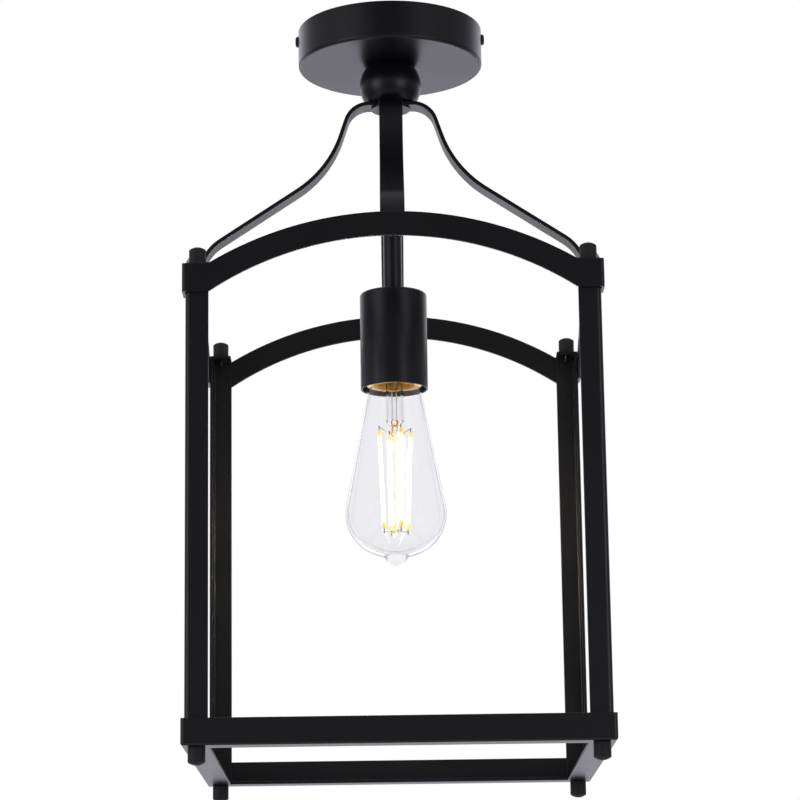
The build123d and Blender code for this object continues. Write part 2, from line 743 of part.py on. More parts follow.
# Lampholder
nodes["socket_cup"] = socket_cup()
nodes["socket_cup_nut"] = hex_nut(nut_across_flats, nipple_thread, holder_high, nut_height)
nodes["lampholder_cap"] = lampholder_cap()
nodes["lampholder_body"] = lampholder_body()
nodes["lampholder_screws"] = lampholder_screws()
nodes["screw_shell"] = screw_shell()
nodes["centre_contact"] = centre_contact()
live_path = lead_path(-1)
neutral_path = lead_path(1)
nodes["live_lead"] = lead(live_path)
nodes["neutral_lead"] = lead(neutral_path)
nodes["wire_connectors"] = wire_connector(live_path) + wire_connector(neutral_path)

# Bulb
nodes["bulb_glass"] = bulb_glass()
nodes["bulb_cap"] = bulb_cap()
cement_bore = neck_diameter + 2 * cement_gap
nodes["bulb_cement"] = tube(cap_bore - 2 * cement_gap, cement_bore, cap_low, neck_high)
nodes["bulb_insulator"] = bulb_insulator()
nodes["bulb_contact"] = bulb_contact()
nodes["bulb_stem"] = bulb_stem()
nodes["bulb_filaments"] = bulb_filaments()
nodes["bulb_wires"] = bulb_wires()

os.makedirs("parts", exist_ok=True)
for name, piece in nodes.items():
    export_step(piece, f"parts/{name}.step")

section_area = pi * lead_diameter ** 2 / 4
for name, path in (("live_lead", live_path), ("neutral_lead", neutral_path)):
    print(f"{name}: {path.length:.1f} mm long, volume over section times length "
          f"{nodes[name].volume / (section_area * path.length):.4f}")
print(f"{len(nodes)} nodes, from the ceiling down to {rail_low - foot_height:.1f} mm")
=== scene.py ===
# %% [markdown]
# # A black lantern ceiling light
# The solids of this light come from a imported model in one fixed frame: metres, Z up, the origin at the
# centre of the ceiling face, so everything hangs below z = 0. This lesson dresses them: a camera, the
# finishes, the small pieces inside the bulb, and the light of a plain studio.

# %% Load the frame
import json
import math

import bmesh
import bpy
from mathutils import Matrix, Vector


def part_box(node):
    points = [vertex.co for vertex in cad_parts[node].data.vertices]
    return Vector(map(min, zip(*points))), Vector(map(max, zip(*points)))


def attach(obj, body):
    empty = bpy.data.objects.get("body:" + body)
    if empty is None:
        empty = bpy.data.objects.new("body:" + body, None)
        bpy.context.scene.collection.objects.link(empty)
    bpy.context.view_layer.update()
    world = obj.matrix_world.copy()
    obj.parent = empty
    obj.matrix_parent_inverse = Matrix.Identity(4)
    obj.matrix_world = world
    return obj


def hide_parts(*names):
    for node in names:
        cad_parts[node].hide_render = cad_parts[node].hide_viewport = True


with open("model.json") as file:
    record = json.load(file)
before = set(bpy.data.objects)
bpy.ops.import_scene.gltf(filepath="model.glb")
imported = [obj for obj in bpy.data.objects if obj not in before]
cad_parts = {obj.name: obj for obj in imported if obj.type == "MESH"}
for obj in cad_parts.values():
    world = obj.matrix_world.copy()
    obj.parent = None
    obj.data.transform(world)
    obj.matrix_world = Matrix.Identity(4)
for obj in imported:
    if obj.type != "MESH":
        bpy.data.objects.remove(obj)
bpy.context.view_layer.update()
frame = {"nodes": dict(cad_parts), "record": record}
nodes = frame["nodes"]
scene = bpy.context.scene
MM = 0.001

# %% [markdown]
# ## The camera
# The view looks up at the light from below, from about two metres away, so the lens is long. A camera can
# be turned with angles or with a matrix. The matrix is used here: its columns are the picture's right, its
# up and its backward direction, which leaves no doubt about the order of the turns.

# %% Place the camera
eye = Vector((-2.59, -1814.65, -665.73)) * MM
yaw, pitch, roll = (math.radians(a) for a in (0.192, 12.969, -0.789))
LENS_FOR_36_MM = 131.14

forward = Vector((math.sin(yaw) * math.cos(pitch), math.cos(yaw) * math.cos(pitch), math.sin(pitch)))
level_right = Vector((math.cos(yaw), -math.sin(yaw), 0))
level_up = level_right.cross(forward)
right = level_right * math.cos(roll) + level_up * math.sin(roll)
up = level_up * math.cos(roll) - level_right * math.sin(roll)

lens = bpy.data.cameras.new("camera")
lens.sensor_width = 36
lens.lens = LENS_FOR_36_MM
camera = bpy.data.objects.new("camera", lens)
camera.matrix_world = Matrix.Translation(eye) @ Matrix((right, up, -forward)).transposed().to_4x4()
scene.collection.objects.link(camera)
scene.camera = camera
print("camera", [round(v, 3) for v in eye], "lens", lens.lens)

# %% [markdown]
# ## Tools for the finishes
# Every finish is a small network of nodes. Colours are written as the hex codes of a paint chart, which are
# sRGB, and Blender's sockets want linear light, so one function converts them. One more function adds any
# node, sets its values and joins its inputs, and others give a finish to solids, by name or by slot.

# %% Colour, node and dressing helpers
def linear(code):
    """Linear colour of an sRGB hex code."""
    parts = [int(code[i:i + 2], 16) / 255 for i in (1, 3, 5)]
    return [p / 12.92 if p <= 0.04045 else ((p + 0.055) / 1.055) ** 2.4 for p in parts] + [1]


def add(tree, kind, settings=None, links=None):
    """Add a node; settings go to its sockets or to its own properties, links join other nodes' outputs."""
    node = tree.nodes.new(kind)
    for key, value in (settings or {}).items():
        if isinstance(key, int) or key in node.inputs:
            node.inputs[key].default_value = value
        else:
            setattr(node, key, value)
    for key, output in (links or {}).items():
        tree.links.new(output, node.inputs[key])
    return node


def finish(name, settings):
    """A new material; returns it with its tree, its shader and the coordinates in metres."""
    material = bpy.data.materials.new(name)
    material.use_nodes = True
    tree = material.node_tree
    shader = tree.nodes["Principled BSDF"]
    for key, value in settings.items():
        shader.inputs[key].default_value = value
    place = add(tree, "ShaderNodeTexCoord").outputs["Object"]
    return material, tree, shader, place


def cover(names, material):
    """Give a finish to the solids of these names."""
    for name in names:
        nodes[name].data.materials.clear()
        nodes[name].data.materials.append(material)
    print(f"{material.name}: {len(names)} solids")


def dress(slot, material):
    """Give a finish to every solid of one slot of the record."""
    parts = frame["record"]["subparts"]
    cover([part["node"] for part in parts if part["material_slot"] == slot], material)


def per_metre(wavelength_mm):
    """Scale of a noise whose grain has this size on the real surface."""
    return 1 / (wavelength_mm * MM)


print("mid grey #808080 is", round(linear("#808080")[0], 3), "in linear light")

# %% [markdown]
# ## Black powder coat
# The canopy, straps, cage and cup are steel under a baked polyester powder. The powder melts into a smooth
# satin film with a slight orange peel, a ripple of one to two millimetres. A plain glossy black would look
# like piano lacquer, so a soft bump and a slow change of roughness are added. The film is a dielectric: its
# gloss is weak face on and strong at a low angle, which is why the undersides look grey from below. The
# small caps above and below the posts have a paler, more matt film, as pieces that are coated apart from
# the cage often do.

# %% Satin black powder coat
PEEL_MM = 2.6       # the real ripple is about 1.5 mm, drawn coarser so that it shows at this distance
PEEL_HEIGHT_MM = 0.012
PATCH_MM = 45       # slow drift of the film's gloss from the oven


def powder_coat(name, dark, light, smoothest, roughest):
    material, tree, shader, place = finish(name, {"IOR": 1.5})
    patch = add(tree, "ShaderNodeTexNoise", {"Scale": per_metre(PATCH_MM), "Detail": 3.0},
                {"Vector": place})
    gloss = add(tree, "ShaderNodeMapRange", {"To Min": smoothest, "To Max": roughest},
                {"Value": patch.outputs["Fac"]})
    tone = add(tree, "ShaderNodeMixRGB", {"Color1": linear(dark), "Color2": linear(light)},
               {"Fac": patch.outputs["Fac"]})
    peel = add(tree, "ShaderNodeTexNoise", {"Scale": per_metre(PEEL_MM), "Detail": 1.0}, {"Vector": place})
    ripple = add(tree, "ShaderNodeBump", {"Strength": 1.0, "Distance": PEEL_HEIGHT_MM * MM},
                 {"Height": peel.outputs["Fac"]})
    tree.links.new(gloss.outputs["Result"], shader.inputs["Roughness"])
    tree.links.new(tone.outputs["Color"], shader.inputs["Base Color"])
    tree.links.new(ripple.outputs["Normal"], shader.inputs["Normal"])
    return material


dress("black_powder_coat", powder_coat("satin_black_powder_coat_baked", "#111114", "#161619", 0.29, 0.37))

# %% Matt black powder coat of the small caps
CORNERS = ("front_left", "front_right", "back_left", "back_right")
caps = [f"{cap}_{corner}" for cap in ("finial", "foot") for corner in CORNERS]
cover(caps, powder_coat("matt_black_powder_coat_baked", "#1F1F21", "#252527", 0.55, 0.65))

# %% [markdown]
# ## Zinc-plated steel
# The crossbar, tubes, nuts and studs are steel with a bright zinc plating. Under a lens the plating is a
# patchwork of pale blue-grey crystals, so its colour and its roughness follow a cell pattern. The earth
# screw is the same steel in a green chromate, the usual mark of that screw.

# %% Zinc plating, bright and green
SPANGLE_MM = 2.2    # real spangles are under 1 mm, drawn coarser so that they show


def zinc(name, dark, light):
    material, tree, shader, place = finish(name, {"Metallic": 1.0})
    cells = add(tree, "ShaderNodeTexVoronoi", {"Scale": per_metre(SPANGLE_MM)}, {"Vector": place})
    tone = add(tree, "ShaderNodeMixRGB", {"Color1": linear(dark), "Color2": linear(light)},
               {"Fac": cells.outputs["Distance"]})
    gloss = add(tree, "ShaderNodeMapRange", {"To Min": 0.28, "To Max": 0.46},
                {"Value": cells.outputs["Distance"]})
    tree.links.new(tone.outputs["Color"], shader.inputs["Base Color"])
    tree.links.new(gloss.outputs["Result"], shader.inputs["Roughness"])
    return material


dress("zinc_plated_steel", zinc("zinc_plated_steel_bright_dip", "#A9ADB3", "#CDD0D3"))
dress("green_zinc_steel", zinc("zinc_plated_steel_green_chromate", "#3B7F4C", "#67A873"))

# %% [markdown]
# ## Porcelain
# The lampholder is pressed porcelain under a clear glaze, because it sits next to a hot bulb. The glaze is
# glossy and the body under it is a warm white with tiny iron specks.

# %% Glazed white porcelain
SPECK_MM = 1.4      # iron specks, drawn coarser than the real ones so that they show

porcelain, tree, shader, place = finish("porcelain_pressed_and_glazed", {"IOR": 1.5, "Roughness": 0.16})
specks = add(tree, "ShaderNodeTexNoise", {"Scale": per_metre(SPECK_MM), "Detail": 2.0}, {"Vector": place})
mask = add(tree, "ShaderNodeMapRange", {"From Min": 0.68, "From Max": 0.75},
           {"Value": specks.outputs["Fac"]})
body = add(tree, "ShaderNodeMixRGB", {"Color1": linear("#EFEBE1"), "Color2": linear("#D8CDBB")},
           {"Fac": mask.outputs["Result"]})
tree.links.new(body.outputs["Color"], shader.inputs["Base Color"])
dress("white_porcelain", porcelain)

# %% [markdown]
# ## Brass, nickelled brass and solder
# The lampholder's shell and tongue are pressed from bare brass strip, and the bulb's cap is thinner brass
# with a wash of nickel. Pressing leaves fine lines round the axis. A noise that is squeezed along Z gives
# such rings. The contact on top of the cap is a cooled drop of tin solder, dull and slightly lumpy.

# %% Brass and nickel wash
DRAW_LINE_MM = 0.5  # spacing of the press lines, drawn coarser than the real scratches
DRAW_DEPTH_MM = 0.02


def pressed(name, dark, light, rough):
    material, tree, shader, place = finish(name, {"Metallic": 1.0, "Roughness": rough})
    squeeze = add(tree, "ShaderNodeMapping", {"Scale": (0.05, 0.05, 1.0)}, {"Vector": place})
    lines = add(tree, "ShaderNodeTexNoise", {"Scale": per_metre(DRAW_LINE_MM), "Detail": 2.0},
                {"Vector": squeeze.outputs["Vector"]})
    tone = add(tree, "ShaderNodeMixRGB", {"Color1": linear(dark), "Color2": linear(light)},
               {"Fac": lines.outputs["Fac"]})
    groove = add(tree, "ShaderNodeBump", {"Strength": 0.5, "Distance": DRAW_DEPTH_MM * MM},
                 {"Height": lines.outputs["Fac"]})
    tree.links.new(tone.outputs["Color"], shader.inputs["Base Color"])
    tree.links.new(groove.outputs["Normal"], shader.inputs["Normal"])
    return material


dress("brass", pressed("brass_strip_pressed", "#DDB03A", "#FADA66", 0.5))
dress("nickelled_brass", pressed("brass_cap_nickel_washed", "#B58C42", "#DDB568", 0.22))

# %% Tin solder
LUMP_MM, LUMP_HEIGHT_MM = 2.0, 0.1

solder, tree, shader, place = finish("tin_solder_drop", {
    "Base Color": linear("#B9B8B3"), "Metallic": 1.0, "Roughness": 0.42})
lumps = add(tree, "ShaderNodeTexNoise", {"Scale": per_metre(LUMP_MM)}, {"Vector": place})
dents = add(tree, "ShaderNodeBump", {"Strength": 0.6, "Distance": LUMP_HEIGHT_MM * MM},
            {"Height": lumps.outputs["Fac"]})
tree.links.new(dents.outputs["Normal"], shader.inputs["Normal"])
dress("solder", solder)

# %% [markdown]
# ## Basing cement
# The glass neck is held in the cap by a ring of baked cement, a tan paste of resin and chalk. Seen through
# the clear neck it gives the golden glow inside the cup's mouth. It is dull and grainy, so the colour
# changes with a coarse noise and there is almost no gloss.

# %% Baked tan cement
CRUMB_MM = 1.2      # lumps of the paste, drawn coarser than the real filler
PIT_DEPTH_MM = 0.1

cement, tree, shader, place = finish("basing_cement_baked_tan", {"IOR": 1.5, "Roughness": 0.75})
crumbs = add(tree, "ShaderNodeTexNoise", {"Scale": per_metre(CRUMB_MM), "Detail": 3.0}, {"Vector": place})
tone = add(tree, "ShaderNodeMixRGB", {"Color1": linear("#A8741F"), "Color2": linear("#DBA748")},
           {"Fac": crumbs.outputs["Fac"]})
pits = add(tree, "ShaderNodeBump", {"Strength": 0.6, "Distance": PIT_DEPTH_MM * MM},
           {"Height": crumbs.outputs["Fac"]})
tree.links.new(tone.outputs["Color"], shader.inputs["Base Color"])
tree.links.new(pits.outputs["Normal"], shader.inputs["Normal"])
dress("basing_cement", cement)

# %% [markdown]
# ## Wire covers
# The two leads wear extruded vinyl, one black and one white. Extrusion leaves a matt skin with faint
# streaks along the wire, so the streaks are stretched along Z, the way the leads run in the stem.

# %% Extruded vinyl, black and white
STREAK_MM = 0.8     # across the wire, drawn coarser than the real die marks


def vinyl(name, dark, light):
    material, tree, shader, place = finish(name, {"IOR": 1.53, "Roughness": 0.5})
    stretch = add(tree, "ShaderNodeMapping", {"Scale": (1.0, 1.0, 0.04)}, {"Vector": place})
    streaks = add(tree, "ShaderNodeTexNoise", {"Scale": per_metre(STREAK_MM)},
                  {"Vector": stretch.outputs["Vector"]})
    tone = add(tree, "ShaderNodeMixRGB", {"Color1": linear(dark), "Color2": linear(light)},
               {"Fac": streaks.outputs["Fac"]})
    tree.links.new(tone.outputs["Color"], shader.inputs["Base Color"])
    return material


dress("black_wire_cover", vinyl("vinyl_cover_black_extruded", "#151515", "#222222"))
dress("white_wire_cover", vinyl("vinyl_cover_white_extruded", "#DCDCD6", "#EEEEEA"))

# %% [markdown]
# ## Glass
# The bulb is blown soda-lime glass, and the solid is a closed wall with an inside and an outside, ending in
# a solid drop where the tube was drawn off. Plain refraction gives such glass its outline. But the wall is
# modelled a little thicker than real glass is blown, and at the full IOR of 1.52 it would draw its outline
# twice. So the wall bends light less, and the drop keeps the real IOR. Blown glass is never quite even: a
# long, very low wave is added. Clear glass shades almost nothing, so it casts no shadow here, and the lit
# strips inside can shine on the cage and into the cup.

# %% Blown clear glass
GLASS_IOR, THIN_WALL_IOR = 1.52, 1.2
TIP_MM, TIP_NECK_MM = 9.0, 3.0
WAVE_MM = 16        # waves of the blown wall
WAVE_HEIGHT_MM = 0.03

glass, tree, shader, place = finish("soda_lime_glass_blown_clear", {
    "Base Color": linear("#F6F6F8"), "Roughness": 0.0, "Transmission Weight": 1.0})
tip_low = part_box("bulb_glass")[0].z
height = add(tree, "ShaderNodeSeparateXYZ", None, {0: place})
bend = add(tree, "ShaderNodeMapRange", {
    "From Min": tip_low + TIP_MM * MM, "From Max": tip_low + (TIP_MM + TIP_NECK_MM) * MM,
    "To Min": GLASS_IOR, "To Max": THIN_WALL_IOR}, {"Value": height.outputs["Z"]})
waves = add(tree, "ShaderNodeTexNoise", {"Scale": per_metre(WAVE_MM)}, {"Vector": place})
wall = add(tree, "ShaderNodeBump", {"Strength": 0.5, "Distance": WAVE_HEIGHT_MM * MM},
           {"Height": waves.outputs["Fac"]})
tree.links.new(bend.outputs["Result"], shader.inputs["IOR"])
tree.links.new(wall.outputs["Normal"], shader.inputs["Normal"])
dress("clear_glass", glass)
for name in ("bulb_glass", "bulb_stem"):
    nodes[name].visible_shadow = False

# %% [markdown]
# The mount inside the bulb is a tube of soft lead glass, pressed together at its lower end round the lead
# wires. A thin post goes on from the press between the strips, and there the clear glass gets a painted
# yellow tint that stands in for the glow of the strips around it.
# The insulator under the cap's contact is dark glass, cast in place and a little cloudy.

# %% Pressed glass of the mount
MOUNT_MM = 36       # from the mount's upper end to the lower end of its press, where the post begins
# the post below the press gets a painted yellow glow for the light of the strips around it
POST_PAINTED_GLOW_MM = 6    # length in which the post turns yellow

mount_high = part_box("bulb_stem")[1].z
press_low = mount_high - MOUNT_MM * MM
mount_glass, tree, shader, place = finish("lead_glass_pressed_mount", {
    "IOR": 1.3, "Roughness": 0.0, "Transmission Weight": 1.0})
height = add(tree, "ShaderNodeSeparateXYZ", None, {0: place})
above_press = add(tree, "ShaderNodeMapRange", {
    "From Min": press_low - POST_PAINTED_GLOW_MM * MM, "From Max": press_low}, {"Value": height.outputs["Z"]})
# painted glow: a yellow tint on the clear post, standing in for the strips' light
tone = add(tree, "ShaderNodeMixRGB", {"Color1": linear("#FFFFE2"), "Color2": linear("#F9F9FA")},
           {"Fac": above_press.outputs["Result"]})
tree.links.new(tone.outputs["Color"], shader.inputs["Base Color"])
cover(["bulb_stem"], mount_glass)

# %% Cast dark glass of the insulator
CLOUD_MM = 3.0      # clouds in the melt

dark_glass, tree, shader, place = finish("dark_glass_cast", {"IOR": 1.55, "Roughness": 0.12})
cloud = add(tree, "ShaderNodeTexNoise", {"Scale": per_metre(CLOUD_MM)}, {"Vector": place})
tone = add(tree, "ShaderNodeMixRGB", {"Color1": linear("#17161B"), "Color2": linear("#2A2630")},
           {"Fac": cloud.outputs["Fac"]})
tree.links.new(tone.outputs["Color"], shader.inputs["Base Color"])
dress("black_glass", dark_glass)

# %% [markdown]
# ## Filament strips
# Each bright line in the bulb is a row of tiny chips on a thin bar, coated in silicone with a yellow
# phosphor. Lit, the coat burns out to white. Its last three millimetres hold no chips, so there the coat
# shows its own amber with a faint painted glow, standing in for light carried along the silicone. Before
# it comes a short stretch in which the light fades. A strip is an oval bar with rounded ends. It could be a
# curve with a bevel, but a curve has one finish along its length. So each strip is swept from a list of
# rings, and every face takes its finish by its distance from the nearer end.

# %% Lit, fading and painted-glow end phosphor
GRAIN_MM = 0.5      # phosphor grains, drawn coarser than the real powder


def phosphor(name, dark, light, glow, strength):
    material, tree, shader, place = finish(name, {
        "IOR": 1.41, "Roughness": 0.5, "Emission Color": linear(glow), "Emission Strength": strength})
    grain = add(tree, "ShaderNodeTexNoise", {"Scale": per_metre(GRAIN_MM)}, {"Vector": place})
    tone = add(tree, "ShaderNodeMixRGB", {"Color1": linear(dark), "Color2": linear(light)},
               {"Fac": grain.outputs["Fac"]})
    tree.links.new(tone.outputs["Color"], shader.inputs["Base Color"])
    return material


strip_finishes = [phosphor("phosphor_silicone_lit", "#F3CE6A", "#FFE39A", "#FFE8B8", 80.0),
                  phosphor("phosphor_silicone_fading", "#F0C456", "#F8D87A", "#FFE48C", 1.4),
                  # the chipless end has no chips but glows faintly: a painted glow for light carried along
                  # the silicone
                  phosphor("phosphor_silicone_end_painted_glow", "#EDB03A", "#F7C65A", "#FFCB58", 0.5)]
LIT, FADING, PAINTED_GLOW_END = range(len(strip_finishes))
dress("glowing_filament", strip_finishes[LIT])

# %% Where the four strips hang
STRIPS = 4
TOP_RADIUS_MM, TOP_TURN = 10.6, math.radians(20.4)
LOW_RADIUS_MM, LOW_TURN = 8.2, math.radians(22.4)


def strip_ends(index):
    """Upper and lower end of one strip, at the levels of the solid."""
    low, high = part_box("bulb_filaments")
    quarter = index * 2 * math.pi / STRIPS
    spots = []
    for radius, turn, level in ((TOP_RADIUS_MM, TOP_TURN, high.z), (LOW_RADIUS_MM, LOW_TURN, low.z)):
        angle = turn + quarter
        spots.append(Vector((radius * MM * math.cos(angle), radius * MM * math.sin(angle), level)))
    return spots


upper, lower = strip_ends(0)
print("a strip is", round((lower - upper).length / MM, 1), "mm long")

# %% Rings along a strip
STRIP_WIDTH_MM, STRIP_DEPTH_MM = 2.6, 1.9
AMBER_MM, FADING_MM = 3.0, 1.3
RING_POINTS = 20
# distance from the end in mm, and the share of the full section
ROUNDING = [(0.0, 0.35), (0.15, 0.68), (0.45, 0.90), (0.9, 1.0)]


def ring_stations(length):
    """Distances from the upper end, each with the share of the full section there."""
    steps = ROUNDING + [(AMBER_MM, 1.0), (AMBER_MM + FADING_MM, 1.0)]
    return steps + [(length - distance, share) for distance, share in reversed(steps)]


def skin(mesh, rings):
    """Join each ring of points to the next with smooth faces; returns the faces band by band."""
    bands = []
    for low, high in zip(rings, rings[1:]):
        band = []
        for point in range(len(low)):
            other = (point + 1) % len(low)
            face = mesh.faces.new((low[point], low[other], high[other], high[point]))
            face.smooth = True
            band.append(face)
        bands.append(band)
    return bands


print("rings along a strip", len(ring_stations((lower - upper).length / MM)))

# %% Sweep the strips
def sweep_strip(mesh, upper, lower):
    """Add one oval strip to a mesh, its flat side outward."""
    along = (lower - upper).normalized()
    outward = Vector((upper.x, upper.y, 0)).normalized()
    across = along.cross(outward).normalized()
    outward = across.cross(along)
    length = (lower - upper).length / MM
    stations = ring_stations(length)
    rings = []
    for distance, share in stations:
        ring = []
        for point in range(RING_POINTS):
            angle = 2 * math.pi * point / RING_POINTS
            sideways = across * (STRIP_WIDTH_MM / 2 * math.cos(angle))
            spread = sideways + outward * (STRIP_DEPTH_MM / 2 * math.sin(angle))
            ring.append(mesh.verts.new(upper + (along * distance + spread * share) * MM))
        rings.append(ring)
    for index, band in enumerate(skin(mesh, rings)):
        middle = (stations[index][0] + stations[index + 1][0]) / 2
        end_gap = min(middle, length - middle)
        zone = PAINTED_GLOW_END if end_gap < AMBER_MM else FADING if end_gap < AMBER_MM + FADING_MM else LIT
        for face in band:
            face.material_index = zone
    for ring in (rings[0], rings[-1]):
        mesh.faces.new(ring).material_index = PAINTED_GLOW_END


mesh = bmesh.new()
for index in range(STRIPS):
    sweep_strip(mesh, *strip_ends(index))
print("points of the strips", len(mesh.verts))

# %% Hang the strips on the bulb
def carry(thing, body, replaced):
    """Put a new piece in the scene, on its body and the nodes that it stands for."""
    scene.collection.objects.link(thing)
    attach(thing, body)
    if replaced:
        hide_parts(*replaced)


def piece(name, mesh, materials, body, replaced):
    """Turn a bmesh into an object that rides on a body."""
    bmesh.ops.recalc_face_normals(mesh, faces=mesh.faces)
    data = bpy.data.meshes.new(name)
    mesh.to_mesh(data)
    mesh.free()
    for material in materials:
        data.materials.append(material)
    carry(bpy.data.objects.new(name, data), body, replaced)
    print(f"{name}: {len(data.polygons)} faces, rides on {body}")


piece("filament_strips", mesh, strip_finishes, "bulb", ["bulb_filaments"])

# %% [markdown]
# ## Pins, arms and lead wires
# Each strip hangs by a pin at either end. A thin arm of nickel-iron wire runs from the pin to the glass post
# in the middle. Two leads of tinned copper come down inside the mount, and where they pass its press they
# are copper-clad, because that wire bonds well to glass. Wires are easiest as curves with a round bevel, one
# spline to a wire. A bent wire gets a few points, and its bends come by themselves.

# %% Drawn wire
TARNISH_MM = 1.5    # patches of tarnish along the wire


def drawn_wire(name, dark, light, rough):
    material, tree, shader, place = finish(name, {"Metallic": 1.0, "Roughness": rough})
    tarnish = add(tree, "ShaderNodeTexNoise", {"Scale": per_metre(TARNISH_MM)}, {"Vector": place})
    tone = add(tree, "ShaderNodeMixRGB", {"Color1": linear(dark), "Color2": linear(light)},
               {"Fac": tarnish.outputs["Fac"]})
    tree.links.new(tone.outputs["Color"], shader.inputs["Base Color"])
    return material


def wires(name, routes, diameter_mm, material, replaced=()):
    """Round wires along lists of points, as one curve object that rides on the bulb."""
    data = bpy.data.curves.new(name, "CURVE")
    data.dimensions = "3D"
    data.bevel_depth = diameter_mm / 2 * MM
    data.bevel_resolution = 3
    data.use_fill_caps = True
    for route in routes:
        spline = data.splines.new("NURBS")
        spline.points.add(len(route) - 1)
        for point, spot in zip(spline.points, route):
            point.co = (*spot, 1)
        spline.order_u = 3
        spline.use_endpoint_u = True
    data.materials.append(material)
    carry(bpy.data.objects.new(name, data), "bulb", replaced)
    print(f"{name}: {len(routes)} wires of {diameter_mm} mm")


nickel = drawn_wire("nickel_iron_wire_drawn", "#6E6A66", "#A39E98", 0.34)
dress("nickel_wire", nickel)

# %% Pins at the strips' ends and arms to the post
PIN_MM, LOW_PIN_MM = 2.6, 3.4
ARM_DROP_MM = 7.0
POST_RADIUS_MM = 1.2
ARM_WIRE_MM, PIN_WIRE_MM = 0.42, 0.75
PIN_SUNK_MM, ARM_END_MM = 0.5, 0.6

pins, arms = [], []
for index in range(STRIPS):
    upper, lower = strip_ends(index)
    along = (upper - lower).normalized()
    strip_pins = ((upper, along, PIN_MM, ARM_DROP_MM), (lower, -along, LOW_PIN_MM, 0))
    for end, way, pin_length, drop in strip_pins:
        outward = Vector((end.x, end.y, 0)).normalized()
        tip = end + way * pin_length * MM
        post_level = tip.z - drop * MM if drop else end.z + way.z * pin_length / 2 * MM
        root = outward * POST_RADIUS_MM * MM + Vector((0, 0, post_level))
        hook = tip if drop else Vector((tip.x, tip.y, post_level))
        pins.append([end - way * PIN_SUNK_MM * MM, (end + tip) / 2, tip])
        arms.append([root, root.lerp(hook, 0.5), hook, hook + outward * ARM_END_MM * MM])
wires("filament_arms", arms, ARM_WIRE_MM, nickel, ["bulb_wires"])
wires("filament_pins", pins, PIN_WIRE_MM, nickel)

# %% Leads inside the glass mount, with their copper-clad seals
LEAD_WIRE_MM, SEAL_WIRE_MM = 0.7, 1.1
LEAD_SPOTS = ((-1.6, -0.9), (1.2, 1.5))
LEAD_START_MM = 4.0                         # below the mount's upper end
SEAL_ABOVE_MM, SEAL_BELOW_MM = 4.0, 5.5     # above and below the lower end of the press

copper = drawn_wire("copper_clad_wire_drawn", "#C98A30", "#F0C058", 0.3)
tinned = drawn_wire("tinned_copper_wire_drawn", "#B9B2A4", "#DCD6C8", 0.3)
levels = (mount_high - LEAD_START_MM * MM, press_low + SEAL_ABOVE_MM * MM, press_low - SEAL_BELOW_MM * MM)
leads, seals = [], []
for x, y in LEAD_SPOTS:
    lead_high, seal_high, seal_low = (Vector((x * MM, y * MM, level)) for level in levels)
    leads.append([lead_high, (lead_high + seal_high) / 2, seal_high])
    seals.append([seal_high, (seal_high + seal_low) / 2, seal_low])
wires("mount_leads", leads, LEAD_WIRE_MM, tinned)
wires("mount_seals", seals, SEAL_WIRE_MM, copper)

# %% [markdown]
# ## Wire connectors
# The leads end in two twist-on connectors above the canopy's floor. They are moulded in orange nylon, with
# grip ribs round a tapered body and a rounded end. A cone would miss the ribs, so each ring of the body is
# drawn with a wavy radius that fades towards the mouth and the tip.

# %% Moulded orange nylon
MARBLE_MM = 6.0     # slow swirls of the pigment

orange, tree, shader, place = finish("nylon_orange_moulded", {"IOR": 1.53, "Roughness": 0.34})
marble = add(tree, "ShaderNodeTexNoise", {"Scale": per_metre(MARBLE_MM)}, {"Vector": place})
tone = add(tree, "ShaderNodeMixRGB", {"Color1": linear("#D9681B"), "Color2": linear("#E88035")},
           {"Fac": marble.outputs["Fac"]})
tree.links.new(tone.outputs["Color"], shader.inputs["Base Color"])
dress("orange_plastic", orange)

# %% Sweep the ribbed connectors
RIBS = 14
RIB_HEIGHT = 0.06   # share of the radius
CONNECTOR_POINTS = RIBS * 6
CONNECTOR_MM = 22.0
CONNECTOR_SHIFT_MM = 1.9        # each lead runs this far beside the light's axis
# distance from the mouth and radius in mm, and the share of the ribs' full height
CONNECTOR_RINGS = [
    (0.0, 1.5, 0), (0.0, 4.9, 0), (0.3, 5.4, 0), (2.0, 5.4, 0), (2.6, 5.1, 0.3), (4.0, 4.9, 1),
    (10.0, 4.3, 1), (16.5, 3.7, 1), (18.5, 3.4, 0.4), (20.5, 2.8, 0), (21.6, 1.8, 0), (CONNECTOR_MM, 0.6, 0)]


def sweep_connector(mesh, start, way):
    """Add one ribbed connector to a mesh, from its mouth along a level direction."""
    across = way.cross(Vector((0, 0, 1)))
    rings = []
    for distance, radius, share in CONNECTOR_RINGS:
        ring = []
        for point in range(CONNECTOR_POINTS):
            angle = 2 * math.pi * point / CONNECTOR_POINTS
            wavy = radius * (1 - RIB_HEIGHT * share * (0.5 - 0.5 * math.cos(RIBS * angle)))
            spread = across * math.cos(angle) + Vector((0, 0, 1)) * math.sin(angle)
            ring.append(mesh.verts.new(start + (way * distance + spread * wavy) * MM))
        rings.append(ring)
    skin(mesh, rings)
    mesh.faces.new(rings[-1])


connector_low, connector_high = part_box("wire_connectors")
axis_level = (connector_low.z + connector_high.z) / 2
mesh = bmesh.new()
for way in (-1, 1):
    far = connector_high.y if way > 0 else connector_low.y
    start = Vector((-way * CONNECTOR_SHIFT_MM * MM, far - way * CONNECTOR_MM * MM, axis_level))
    sweep_connector(mesh, start, Vector((0, way, 0)))
piece("wire_connectors_ribbed", mesh, [orange], "fixture", ["wire_connectors"])

# %% [markdown]
# ## Floor
# The light hangs in a high room, so its floor is a sheet of white paper three metres below the ceiling.
# Lamps alone would leave the paper grey, and more of them would spoil the light on the object. So the paper
# is lifted towards white only for the rays that the camera sends, directly or through glass.

# %% Pale floor
FLOOR_LEVEL, FLOOR_HALF = -3.0, 5.0     # metres
PAPER_LIFT = 0.57

